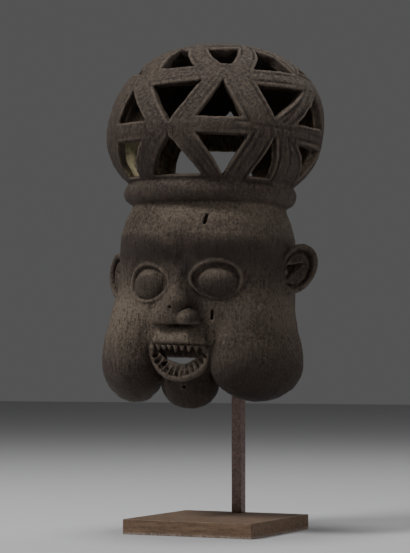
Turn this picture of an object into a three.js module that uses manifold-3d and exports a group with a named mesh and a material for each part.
// A carved wooden helmet mask with an openwork crown, on a square rod and a square base plate.
// Millimetres, +Z up. The origin is the centre of the base plate's underside, and the face looks to -Y.
import * as THREE from "three";
import { mergeVertices } from "three/addons/utils/BufferGeometryUtils.js";
import Module from "manifold-3d";

const wasm = await Module();
wasm.setup();

const DEGREE = Math.PI / 180;
const GAP = 0.3;

// Stand sizes
const BASE_SIDE = 178;
const BASE_HEIGHT = 19;
const BASE_EDGE = 1;
const ROD_SIDE = 14;
const ROD_X = -5.6;
const ROD_Y = 77;

// Where the mask hangs over the base: its axis, its turn and its small lean to one side
const MASK_X = -14;
const MASK_Y = -6;
const MASK_TURN = 5 * DEGREE;
const MASK_ROLL = 1.6 * DEGREE;
const PIVOT_Z = 215;

// Head: height, half width, reach forward and reach back of its sections
const HEAD_SECTIONS = [
  [220, 107, 84, 108],
  [250, 110, 90, 110],
  [285, 112, 98, 111],
  [320, 113, 103, 112],
  [350, 113, 108, 113],
  [375, 111, 109, 111],
  [395, 105, 104, 107],
  [408, 99, 97, 101],
  [424, 95, 94, 97],
  [440, 92, 92, 92],
];
const HEAD_SQUARENESS = 2.15;
const CAVITY_SECTIONS = [
  [140, 72, 40, 97],
  [205, 74, 42, 97],
  [245, 78, 62, 97],
  [300, 86, 76, 97],
  [398, 84, 82, 95],
];
const CAVITY_SQUARENESS = 2.6;
const CAVITY_CEILING = 398;
const CAVITY_FOOT = 140;
const HEAD_FOOT = 220;
const HEAD_TOP = 440;

// Ring between head and crown
const RING_Z = 432;
const RING_RADIUS = 94;
const RING_TUBE = 17;
const RING_HALF_HEIGHT = 16;

// Crown: a hollow dome wider than the ring, pierced by three bands of triangular windows
const CROWN_WIDEST_Z = 512;
const CROWN_RADIUS = 141.5;
const CROWN_ABOVE = 119;
const CROWN_BELOW = 98;
const CROWN_WALL = 14;
const CROWN_FLOOR = 430;
const CROWN_POWER_ABOVE = 2.25;
const CROWN_POWER_BELOW = 2.2;
const BAND_CENTRES = [476, 522, 536];
const WINDOW_CORNER = 2.5;
const CUTTER_INNER = 0.72;
const CUTTER_OUTER = 1.25;

// Windows on the front half as they are carved: the turn in degrees and the height of each corner
const FRONT_WINDOWS = [
  [[[-51, 449], [-35, 449], [-20, 491], [-41, 490]], [[-19, 449], [14, 449], [-4, 495]],
    [[28, 450], [38, 498], [11, 499]], [[46, 449], [62, 448], [54, 497]],
    [[95, 449], [102, 490], [70, 492]]],
  [[[-41, 515], [-19, 515], [-35, 558]], [[-4, 513], [10, 567], [-19, 561]],
    [[11, 520], [34, 520], [22, 567]], [[53, 522], [75, 563], [42, 563]],
    [[69, 517], [101, 517], [90, 560]]],
  [[[-76, 589], [-42, 584], [-57, 609]], [[-21, 586], [2, 588], [-12, 613], [-25, 615]],
    [[20, 592], [27, 593], [36, 616], [8, 613]], [[42, 586], [72, 586], [68, 606], [53, 615]],
    [[84, 590], [106, 587], [96, 609]]],
];

// The back is a closed wall with one broad opening low down and a small window over it
const BACK_WINDOWS = [
  [[[171, 455], [227, 455], [221, 501], [184, 503]]],
  [[[184, 531], [202, 531], [193.5, 560]]],
  [],
];

// Backward lean of the crown over the head, from the head's top upward
const LEAN_POINTS = [[400, 0], [432, 3], [512, 14], [577, 32], [630, 36]];

// Cheeks: hanging balloons at both sides of the chin
const CHEEKS = [
  { side: -1, x: 84, low: 162, thick: 45 },
  { side: 1, x: 81, low: 168, thick: 43 },
];
const CHEEK_Y = -27;
const CHEEK_TURN = 20 * DEGREE;
const CHEEK_WIDEST_Z = 216;
const CHEEK_TOP = 340;
const CHEEK_LONG = 77;
const CHEEK_TOP_SHIFT = 20;

// Muzzle, lips, teeth and chin
const MUZZLE = { y: -50, z: 229, halfWidth: 47, reach: 49, halfHeight: 37 };
const LIP_DEPTH = 105;
const LIP_BEND = 58;
const LIP_SLANT = 9;
const LIP_TOP_Z = 261.5;
const LIP_BACK_Y = -62;
const LIP_BOTTOM_Z = 239;
const LIP_TOP_HALF_WIDTH = 29;
const LIP_SPREAD = 11;
const MOUTH_HALF_WIDTH = 36;
const MOUTH_TOP_Z = 236;
const MOUTH_BOTTOM_Z = 203;
const LOWER_LIP_DROP = 38;
const LOWER_LIP_TUBE = 4.4;
const LOWER_LIP_WIDER = 2;
const LOWER_LIP_BELOW = 3;
const LOWER_LIP_BACK = 5;
const LOWER_LIP_BOW = 9;
const TRAY_TUBE = 5.4;
const TRAY_ROWS = [{ inset: 6.5, back: 5 }, { inset: 14.5, back: 7.5 }];
const UPPER_TEETH = 8;
const TOOTH_PITCH = 8.5;
const TOOTH_RADIUS = 5.2;
const TOOTH_LENGTH = 12;
const TOOTH_BACK = 8;
const TEETH_ASIDE = 1.8;
const TEETH_Z = 232;
const LOWER_SLOTS = 12;
const FIRST_SLOT = 16 * DEGREE;
const SLOT_SPREAD = 148 * DEGREE;
const SLOT_WIDTH = 3.2;
const SLOT_LENGTH = 12;
const SLOT_DEPTH = 5;
const CHIN = { y: -50, z: 189, halfWidth: 38, reach: 28, halfHeight: 32 };

// Drying cracks in the face: turn in degrees and height at the lower and the upper end, and half width
const CRACKS = [
  { from: [17.6, 386], to: [19.6, 400], halfWidth: 1.8 },
  { from: [25, 268], to: [25, 284], halfWidth: 1.3 },
];
const CRACK_DEPTH = 5;

// Eyes: a raised rim round a bulging ball, which sits a little low in the right one
const EYES = [
  { side: -1, azimuth: 25.5 * DEGREE, z: 314, halfWidth: 27.5, ball: 22.5, drop: 1 },
  { side: 1, azimuth: 27.5 * DEGREE, z: 320, halfWidth: 29, ball: 24, drop: 4 },
];
const EYE_HALF_HEIGHT = 23;
const EYE_RIM = 2.8;
const EYEBALL_HALF_HEIGHT = 18.5;
const EYEBALL_BULGE = 10.5;

// Nose: a ridge that spreads downward, a full wing on one side and a worn slope on the other
const NOSE_ROOT_Z = 330;
const NOSE_BASE_Z = 263;
const NOSE_REACH = 20;
const NOSE_HALF_WIDTH = 26;
const FULL_WING = { x: 18, y: -106, z: 269, halfWidth: 14.5, reach: 16.5, halfHeight: 13.5 };
const WORN_WING = { x: -12, y: -96, z: 268, halfWidth: 19, reach: 12, halfHeight: 16 };

// Ears: an upright rim round a raised plate with a three-cornered hollow in it, and a knob at the root
const EARS = [
  { side: -1, sweep: 45 * DEGREE, y: -16, z: 325, slant: 0.05 },
  { side: 1, sweep: 50 * DEGREE, y: -29, z: 337, slant: 0.3 },
];
const EAR_ROOT_X = 103;
const EAR_MIDDLE = 31;
const EAR_HALF_WIDTH = 33;
const EAR_HALF_HEIGHT = 32;
const EAR_RIM = 4.6;
const EAR_BACK = -8;
const EAR_GROOVE = -3;
const EAR_PLATE_INSET = 11.5;
const EAR_PLATE = 1.5;
const EAR_HOLLOW = [[14, -16], [42, 7], [16, 4]];
const EAR_HOLLOW_FLOOR = -5;
const EAR_KNOB = { u: 12, v: -5, radius: 5.5 };

// Turns a closed geometry into a solid that can be joined and cut
function solidOf(geometry) {
  const bare = geometry.clone();
  bare.deleteAttribute("normal");
  bare.deleteAttribute("uv");
  const merged = mergeVertices(bare, 1e-3);
  const vertProperties = Float32Array.from(merged.attributes.position.array);
  const triVerts = Uint32Array.from(merged.index.array);
  return new wasm.Manifold(new wasm.Mesh({ numProp: 3, vertProperties, triVerts }));
}

function geometryOf(solid) {
  const mesh = solid.getMesh();
  const points = new Float32Array(mesh.numVert * 3);
  for (let i = 0; i < mesh.numVert; i += 1) {
    for (let k = 0; k < 3; k += 1) {
      points[i * 3 + k] = mesh.vertProperties[i * mesh.numProp + k];
    }
  }
  const geometry = new THREE.BufferGeometry();
  geometry.setAttribute("position", new THREE.BufferAttribute(points, 3));
  geometry.setIndex(new THREE.BufferAttribute(Uint32Array.from(mesh.triVerts), 1));
  geometry.computeVertexNormals();
  return geometry;
}

// Moves every corner of a geometry to where the function puts it
function deform(geometry, place) {
  const position = geometry.attributes.position;
  const point = new THREE.Vector3();
  for (let i = 0; i < position.count; i += 1) {
    point.fromBufferAttribute(position, i);
    place(point);
    position.setXYZ(i, point.x, point.y, point.z);
  }
  return geometry;
}

function signedPower(value, power) {
  return Math.sign(value) * Math.abs(value) ** power;
}

function smooth(t) {
  const s = Math.min(1, Math.max(0, t));
  return s * s * (3 - 2 * s);
}

function bump(value, centre, spread) {
  const t = (value - centre) / spread;
  return Math.exp(-t * t);
}

// Reads a column of a list of sections at a height, with straight runs between the rows
function atHeight(sections, z, column) {
  if (z <= sections[0][0]) {
    return sections[0][column];
  }
  for (let i = 1; i < sections.length; i += 1) {
    const low = sections[i - 1];
    const high = sections[i];
    if (z <= high[0]) {
      const t = (z - low[0]) / (high[0] - low[0]);
      return low[column] + (high[column] - low[column]) * t;
    }
  }
  return sections[sections.length - 1][column];
}

function lean(z) {
  return atHeight(LEAN_POINTS, z, 1);
}

function sectionRadius(sections, squareness, azimuth, z) {
  const side = atHeight(sections, z, 1);
  const reach = Math.cos(azimuth) > 0 ? atHeight(sections, z, 2) : atHeight(sections, z, 3);
  const across = Math.abs(Math.sin(azimuth) / side) ** squareness;
  const along = Math.abs(Math.cos(azimuth) / reach) ** squareness;
  return (across + along) ** (-1 / squareness);
}

// The face without its eyes and nose: a domed forehead, hollow eye places and full cheekbones
function faceRadius(azimuth, z) {
  const turn = Math.abs(azimuth) / DEGREE;
  let radius = sectionRadius(HEAD_SECTIONS, HEAD_SQUARENESS, azimuth, z);
  radius += 4 * bump(turn, 24, 20) * bump(z, 362, 16);
  radius -= 8 * bump(turn, 27, 20) * bump(z, 322, 26);
  radius -= 4 * bump(turn, 0, 9) * bump(z, 342, 20);
  radius += 7 * bump(turn, 46, 24) * bump(z, 272, 30);
  radius += 10 * bump(turn, 64, 38) * bump(z, 232, 48);
  return radius;
}

function facePoint(azimuth, z, lift, target) {
  const radius = faceRadius(azimuth, z) + lift;
  return target.set(Math.sin(azimuth) * radius, lean(z) - Math.cos(azimuth) * radius, z);
}

// A closed tube of sections round the mask's axis, with finer steps at the front
function loft(radiusAt, zLow, zHigh, around, rows, frontFineness) {
  const geometry = new THREE.CylinderGeometry(1, 1, 1, around, rows);
  geometry.rotateX(Math.PI / 2);
  return deform(geometry, (p) => {
    const even = Math.atan2(p.x, -p.y);
    const azimuth = even - frontFineness * Math.sin(even);
    const z = zLow + (zHigh - zLow) * (p.z + 0.5);
    const radius = Math.hypot(p.x, p.y) < 0.5 ? 0 : radiusAt(azimuth, z);
    p.set(Math.sin(azimuth) * radius, lean(z) - Math.cos(azimuth) * radius, z);
  });
}

function headSolid() {
  return solidOf(loft(faceRadius, HEAD_FOOT, HEAD_TOP, 40, 14, 0.34));
}

function cavitySolid() {
  const radiusAt = (azimuth, z) => sectionRadius(CAVITY_SECTIONS, CAVITY_SQUARENESS, azimuth, z);
  return solidOf(loft(radiusAt, CAVITY_FOOT, CAVITY_CEILING, 24, 4, 0));
}

function ringSolid() {
  const geometry = new THREE.TorusGeometry(1, 0.1, 8, 30);
  return solidOf(deform(geometry, (p) => {
    const azimuth = Math.atan2(p.x, -p.y);
    const out = (Math.hypot(p.x, p.y) - 1) * 10;
    const radius = RING_RADIUS + out * RING_TUBE;
    const z = RING_Z + p.z * 10 * RING_HALF_HEIGHT;
    p.set(Math.sin(azimuth) * radius, lean(RING_Z) - Math.cos(azimuth) * radius, z);
  }));
}

// Half profile of the crown's outside at a height
function crownRadius(z) {
  const high = z > CROWN_WIDEST_Z;
  const power = high ? CROWN_POWER_ABOVE : CROWN_POWER_BELOW;
  const t = Math.abs(z - CROWN_WIDEST_Z) / (high ? CROWN_ABOVE : CROWN_BELOW);
  return CROWN_RADIUS * Math.max(0, 1 - t ** power) ** (1 / power);
}

function crownPoint(azimuth, z, target) {
  const radius = crownRadius(z);
  return target.set(Math.sin(azimuth) * radius, lean(z) - Math.cos(azimuth) * radius, z);
}

function domeSolid(radius, above, below, around, rows) {
  const geometry = new THREE.SphereGeometry(1, around, rows);
  geometry.rotateX(Math.PI / 2);
  return solidOf(deform(geometry, (p) => {
    const azimuth = Math.atan2(p.x, -p.y);
    const power = 2 / (p.z > 0 ? CROWN_POWER_ABOVE : CROWN_POWER_BELOW);
    const r = radius * Math.hypot(p.x, p.y) ** power;
    const z = CROWN_WIDEST_Z + signedPower(p.z, power) * (p.z > 0 ? above : below);
    p.set(Math.sin(azimuth) * r, lean(z) - Math.cos(azimuth) * r, z);
  }));
}

// Takes the points off an outline's corners
function blunted(corners) {
  const outline = [];
  corners.forEach((corner, i) => {
    for (const other of [corners.at(i - 1), corners[(i + 1) % corners.length]]) {
      const toward = other.clone().sub(corner).normalize();
      outline.push(corner.clone().addScaledVector(toward, WINDOW_CORNER));
    }
  });
  return outline;
}

// One window: a flat outline wrapped on the crown and carried through the wall toward the band's own centre
function windowSolid(corners, width, centreZ) {
  const shape = new THREE.Shape(blunted(corners));
  const geometry = new THREE.ExtrudeGeometry(shape, { depth: 1, bevelEnabled: false });
  const centre = new THREE.Vector3(0, lean(centreZ), centreZ);
  return solidOf(deform(geometry, (p) => {
    const scale = p.z > 0.5 ? CUTTER_OUTER : CUTTER_INNER;
    crownPoint(p.x / width, p.y, p);
    p.sub(centre).multiplyScalar(scale).add(centre);
  }));
}

function crownWindow(points, band) {
  const width = crownRadius(BAND_CENTRES[band]);
  const corners = points.map(([turn, z]) => new THREE.Vector2(turn * DEGREE * width, z));
  return windowSolid(corners, width, BAND_CENTRES[band]);
}

function crownWindows() {
  return BAND_CENTRES.flatMap((_, band) => (
    [...FRONT_WINDOWS[band], ...BACK_WINDOWS[band]].map((points) => crownWindow(points, band))
  ));
}

function crownSolid() {
  return domeSolid(CROWN_RADIUS, CROWN_ABOVE, CROWN_BELOW, 24, 9);
}

function crownHollowSolid() {
  const wall = CROWN_WALL;
  const inside = domeSolid(CROWN_RADIUS - wall, CROWN_ABOVE - wall, CROWN_BELOW - 4, 18, 7);
  return wasm.Manifold.union([inside.intersect(slabSolid(CROWN_FLOOR, 640)), ...crownWindows()]);
}

// A wide flat block between two heights, for cutting level
function slabSolid(zLow, zHigh) {
  const geometry = new THREE.BoxGeometry(600, 600, zHigh - zLow);
  geometry.translate(0, 0, (zLow + zHigh) / 2);
  return solidOf(geometry);
}

// A hanging cheek: full and rounded below, drawn up thin toward the cheekbone
function cheekSolid({ side, x: cheekX, low, thick }) {
  const geometry = new THREE.SphereGeometry(1, 20, 12);
  geometry.rotateX(Math.PI / 2);
  deform(geometry, (p) => {
    const height = p.z > 0 ? CHEEK_TOP - CHEEK_WIDEST_Z : CHEEK_WIDEST_Z - low;
    const z = CHEEK_WIDEST_Z + p.z * height;
    const rise = Math.max(0, p.z);
    const slim = 1 - 0.16 * smooth(rise);
    const across = p.x * thick * slim;
    const along = p.y * CHEEK_LONG * slim;
    const c = Math.cos(CHEEK_TURN);
    const s = Math.sin(CHEEK_TURN);
    const x = cheekX - CHEEK_TOP_SHIFT * rise * rise + across * c + along * s;
    p.set(side * x, CHEEK_Y - across * s + along * c, z);
  });
  return solidOf(side < 0 ? mirrored(geometry) : geometry);
}

function mirrored(geometry) {
  const index = geometry.index.array;
  for (let i = 0; i < index.length; i += 3) {
    const keep = index[i];
    index[i] = index[i + 1];
    index[i + 1] = keep;
  }
  return geometry;
}

function ellipsoid(x, y, z, halfWidth, reach, halfHeight, around, rows, squareness) {
  const geometry = new THREE.SphereGeometry(1, around, rows);
  geometry.rotateX(Math.PI / 2);
  const power = 2 / squareness;
  return solidOf(deform(geometry, (p) => {
    p.x = x + signedPower(p.x, power) * halfWidth;
    p.y = y + signedPower(p.y, power) * reach;
    p.z = z + p.z * halfHeight;
  }));
}

function noseSolid() {
  const geometry = new THREE.SphereGeometry(1, 12, 7);
  geometry.rotateX(Math.PI / 2);
  const low = NOSE_BASE_Z - 12;
  const ridge = solidOf(deform(geometry, (p) => {
    const t = (1 - p.z) / 2;
    const z = low + (NOSE_ROOT_Z - low) * (1 - t);
    const out = Math.hypot(p.x, p.y);
    const halfWidth = NOSE_HALF_WIDTH * (0.42 + 0.58 * t) * out;
    const azimuth = Math.atan2(p.x, -p.y);
    const reach = NOSE_REACH * (0.3 + 0.7 * t) * out;
    p.set(Math.sin(azimuth) * halfWidth, -faceRadius(0, z) - Math.cos(azimuth) * reach, z);
  }));
  const wings = [FULL_WING, WORN_WING].map((w) => (
    ellipsoid(w.x, w.y, w.z, w.halfWidth, w.reach, w.halfHeight, 12, 7, 2)
  ));
  return wasm.Manifold.union([ridge, ...wings]).intersect(slabSolid(NOSE_BASE_Z, 400));
}

function onEye(eye, u, v, w, target) {
  return facePoint(eye.side * (eye.azimuth + u / 100), eye.z + v, w, target);
}

function eyeSolid(eye) {
  const rim = new THREE.TorusGeometry(1, 0.1, 5, 20);
  deform(rim, (p) => {
    const angle = Math.atan2(p.y, p.x);
    const out = (Math.hypot(p.x, p.y) - 1) * 10 * EYE_RIM;
    const point = 1 + 0.14 * bump(Math.abs(angle) / DEGREE, 180, 38);
    const u = Math.cos(angle) * (eye.halfWidth * point + out);
    const v = Math.sin(angle) * (EYE_HALF_HEIGHT + out);
    onEye(eye, u, v, p.z * 10 * EYE_RIM, p);
  });
  const ball = new THREE.SphereGeometry(1, 14, 9);
  deform(ball, (p) => {
    onEye(eye, p.x * eye.ball, p.y * EYEBALL_HALF_HEIGHT - eye.drop, p.z * EYEBALL_BULGE, p);
  });
  const parts = [rim, ball].map((g) => solidOf(eye.side < 0 ? mirrored(g) : g));
  return parts[0].add(parts[1]);
}

// A closed bar of round section along a run of points
function barSolid(points, radius, corners, steps) {
  const round = new THREE.Shape();
  for (let i = 0; i < corners; i += 1) {
    const angle = (i / corners) * 2 * Math.PI;
    const x = Math.cos(angle) * radius;
    const y = Math.sin(angle) * radius;
    if (i === 0) {
      round.moveTo(x, y);
    } else {
      round.lineTo(x, y);
    }
  }
  round.closePath();
  const path = new THREE.CatmullRomCurve3(points);
  return solidOf(new THREE.ExtrudeGeometry(round, { steps, extrudePath: path }));
}

function lipDepth(x) {
  return LIP_DEPTH - (x * x) / (2 * LIP_BEND);
}

function upperLipSolid() {
  const geometry = new THREE.BoxGeometry(2, 1, 1, 8, 1, 2);
  return solidOf(deform(geometry, (p) => {
    const low = 0.5 - p.z;
    const x = p.x * (LIP_TOP_HALF_WIDTH + LIP_SPREAD * low);
    const z = LIP_TOP_Z + (LIP_BOTTOM_Z - LIP_TOP_Z) * low;
    const front = lipDepth(x) - LIP_SLANT * (1 - low ** 0.7);
    p.set(x, p.y < 0 ? -front : LIP_BACK_Y, z);
  }));
}

// A point of the lower lip's curve, or of one inset into the mouth and set back behind it
function lowerLipPoint(angle, inset, back) {
  const bent = Math.max(0, Math.sin(angle));
  const x = (MOUTH_HALF_WIDTH + LOWER_LIP_WIDER - inset * bent) * Math.cos(angle);
  const z = MOUTH_TOP_Z - LOWER_LIP_BELOW - (LOWER_LIP_DROP - inset) * bent ** 0.9;
  const forward = lipDepth(x) - LOWER_LIP_BACK - LOWER_LIP_BOW * bent ** 1.5;
  return new THREE.Vector3(x, back - forward, z);
}

function lipBar(inset, back, radius) {
  const points = [];
  for (let i = 0; i <= 12; i += 1) {
    points.push(lowerLipPoint((i / 12) * Math.PI, inset, back));
  }
  return barSolid(points, radius, 6, 14);
}

// The lower teeth are stubs left between slots, in the tray behind the lower lip
function lowerJawSolid() {
  const slots = [];
  for (let i = 0; i < LOWER_SLOTS; i += 1) {
    const angle = FIRST_SLOT + (SLOT_SPREAD * i) / (LOWER_SLOTS - 1);
    const low = lowerLipPoint(angle, LOWER_LIP_TUBE, 0);
    const along = lowerLipPoint(angle, LOWER_LIP_TUBE + SLOT_LENGTH, 0).sub(low);
    const slot = new THREE.BoxGeometry(SLOT_WIDTH, 2 * SLOT_DEPTH, SLOT_LENGTH);
    slot.translate(0, 0, SLOT_LENGTH / 2);
    slot.rotateY(Math.atan2(along.x, along.z));
    slot.translate(low.x, low.y, low.z);
    slots.push(solidOf(slot));
  }
  const tray = wasm.Manifold.union(TRAY_ROWS.map((row) => lipBar(row.inset, row.back, TRAY_TUBE)));
  return tray.subtract(wasm.Manifold.union(slots)).add(lipBar(0, 0, LOWER_LIP_TUBE));
}

function mouthSolid() {
  const outline = [];
  for (let i = 0; i <= 12; i += 1) {
    const angle = (i / 12) * Math.PI;
    const x = MOUTH_HALF_WIDTH * Math.cos(angle);
    const z = MOUTH_TOP_Z - (MOUTH_TOP_Z - MOUTH_BOTTOM_Z) * Math.sin(angle) ** 0.9;
    outline.push(new THREE.Vector2(x, z));
  }
  const geometry = new THREE.ExtrudeGeometry(new THREE.Shape(outline), { depth: 110, bevelEnabled: false });
  geometry.rotateX(Math.PI / 2);
  geometry.translate(0, -30, 0);
  return solidOf(geometry);
}

// A crack: a thin wedge driven into the face along a straight line
function crackSolid({ from, to, halfWidth }) {
  const geometry = new THREE.CylinderGeometry(1, 1, 1, 4, 1);
  return solidOf(deform(geometry, (p) => {
    const t = p.y + 0.5;
    const turn = (from[0] + (to[0] - from[0]) * t) * DEGREE;
    const z = from[1] + (to[1] - from[1]) * t;
    facePoint(turn + (p.x * halfWidth) / LIP_DEPTH, z, p.z * CRACK_DEPTH, p);
  }));
}

// The upper teeth are points that hang behind the upper lip
function upperTeeth() {
  const solids = [];
  for (let i = 0; i < UPPER_TEETH; i += 1) {
    const x = TEETH_ASIDE + (i - (UPPER_TEETH - 1) / 2) * TOOTH_PITCH;
    const tooth = new THREE.ConeGeometry(TOOTH_RADIUS, TOOTH_LENGTH, 4);
    tooth.rotateX(-Math.PI / 2);
    tooth.rotateZ(Math.PI / 4);
    tooth.translate(x, TOOTH_BACK - lipDepth(x), TEETH_Z);
    solids.push(solidOf(tooth));
  }
  return solids;
}

// A point of the ear: outward from its root, up, and forward from its own slanting plane
function onEar(reach, rise, w, ear, target) {
  const c = Math.cos(ear.sweep);
  const s = Math.sin(ear.sweep);
  return target.set(ear.side * (EAR_ROOT_X + reach * c + w * s), ear.y + reach * s - w * c, ear.z + rise);
}

// Stretches a ring or disc of radius one to the ear's slanting outline, less an inset all round
function earOutline(u, v, w, inset, ear, target) {
  const aside = u * (EAR_HALF_WIDTH - inset);
  const rise = v * (EAR_HALF_HEIGHT - inset) + ear.slant * aside;
  return onEar(EAR_MIDDLE + aside, rise, w, ear, target);
}

function earRim(ear) {
  const ring = new THREE.TorusGeometry(1, 0.1, 6, 14);
  return deform(ring, (p) => {
    const angle = Math.atan2(p.y, p.x);
    const out = (Math.hypot(p.x, p.y) - 1) * 10 * EAR_RIM;
    earOutline(Math.cos(angle), Math.sin(angle), p.z * 10 * EAR_RIM, EAR_RIM - out, ear, p);
  });
}

function earDisc(inset, wFront, ear) {
  const disc = new THREE.CylinderGeometry(1, 1, 1, 12, 1);
  disc.rotateX(Math.PI / 2);
  return deform(disc, (p) => earOutline(p.x, p.y, p.z > 0 ? wFront : EAR_BACK, inset, ear, p));
}

function earSolid(ear) {
  const corners = EAR_HOLLOW.map(([u, v]) => new THREE.Vector2(u, v));
  const prism = new THREE.ExtrudeGeometry(new THREE.Shape(corners), { depth: 1, bevelEnabled: false });
  const hollow = mergeVertices(prism);
  deform(hollow, (p) => onEar(p.x, p.y, EAR_HOLLOW_FLOOR + p.z * 2 * EAR_HALF_WIDTH, ear, p));
  const knob = new THREE.SphereGeometry(EAR_KNOB.radius, 6, 4);
  deform(knob, (p) => onEar(EAR_KNOB.u + p.x, EAR_KNOB.v + p.y, p.z, ear, p));
  const close = (g) => solidOf(ear.side < 0 ? mirrored(g) : g);
  const plates = [earDisc(EAR_RIM, EAR_GROOVE, ear), earDisc(EAR_PLATE_INSET, EAR_PLATE, ear)];
  const raised = [earRim(ear), ...plates].map(close);
  return wasm.Manifold.union(raised).subtract(close(hollow)).add(close(knob));
}

function maskSolid() {
  const outside = [
    headSolid(), ringSolid(), noseSolid(), ...EYES.map(eyeSolid), ...EARS.map(earSolid),
    ...CHEEKS.map(cheekSolid),
    ellipsoid(0, MUZZLE.y, MUZZLE.z, MUZZLE.halfWidth, MUZZLE.reach, MUZZLE.halfHeight, 14, 9, 2.3),
    ellipsoid(0, CHIN.y, CHIN.z, CHIN.halfWidth, CHIN.reach, CHIN.halfHeight, 12, 8, 2.1),
    upperLipSolid(), crownSolid(),
  ];
  let mask = wasm.Manifold.union(outside);
  const cuts = [crownHollowSolid(), cavitySolid(), mouthSolid(), ...CRACKS.map(crackSolid)];
  mask = mask.subtract(wasm.Manifold.union(cuts));
  return wasm.Manifold.union([mask, lowerJawSolid(), ...upperTeeth()]);
}

const darkWood = new THREE.MeshStandardMaterial({ color: 0x3a2c24, roughness: 0.72, metalness: 0 });
const rustedIron = new THREE.MeshStandardMaterial({ color: 0x5c4036, roughness: 0.7, metalness: 0.5 });
const baseWood = new THREE.MeshStandardMaterial({ color: 0x6b4f3c, roughness: 0.6, metalness: 0 });

const object = new THREE.Group();

// The mask in its stance over the base
const stance = new THREE.Group();
stance.position.set(MASK_X, MASK_Y, PIVOT_Z);
stance.rotation.set(0, MASK_ROLL, MASK_TURN, "ZYX");
const hang = new THREE.Group();
hang.position.z = -PIVOT_Z;
stance.add(hang);
const mask = new THREE.Mesh(geometryOf(maskSolid()), darkWood);
mask.name = "mask";
hang.add(mask);
object.add(stance);
object.updateMatrixWorld(true);

// The rod runs up inside the back of the head and ends just under the cavity's ceiling
const ceiling = new THREE.Plane(new THREE.Vector3(0, 0, 1), -CAVITY_CEILING).applyMatrix4(mask.matrixWorld);
let rodTop = Infinity;
for (const dx of [-1, 1]) {
  for (const dy of [-1, 1]) {
    const x = ROD_X + (dx * ROD_SIDE) / 2;
    const y = ROD_Y + (dy * ROD_SIDE) / 2;
    const z = -(ceiling.normal.x * x + ceiling.normal.y * y + ceiling.constant) / ceiling.normal.z;
    rodTop = Math.min(rodTop, z - GAP);
  }
}
const rodFoot = BASE_HEIGHT + GAP;
const rod = new THREE.Mesh(new THREE.BoxGeometry(ROD_SIDE, ROD_SIDE, rodTop - rodFoot), rustedIron);
rod.position.set(ROD_X, ROD_Y, (rodTop + rodFoot) / 2);
rod.name = "stand_rod";
object.add(rod);

// The base plate, with its upper edges broken
const half = BASE_SIDE / 2;
const plate = new THREE.CylinderGeometry(1, 1, 1, 4, 2);
plate.rotateX(Math.PI / 2);
plate.rotateZ(Math.PI / 4);
deform(plate, (p) => {
  const top = p.z > 0.25;
  const z = top ? BASE_HEIGHT : p.z < -0.25 ? 0 : BASE_HEIGHT - BASE_EDGE;
  const reach = top ? half - BASE_EDGE : half;
  p.set(Math.sign(Math.round(p.x * 10)) * reach, Math.sign(Math.round(p.y * 10)) * reach, z);
});
const base = new THREE.Mesh(geometryOf(solidOf(plate)), baseWood);
base.name = "stand_base";
object.add(base);

export default object;
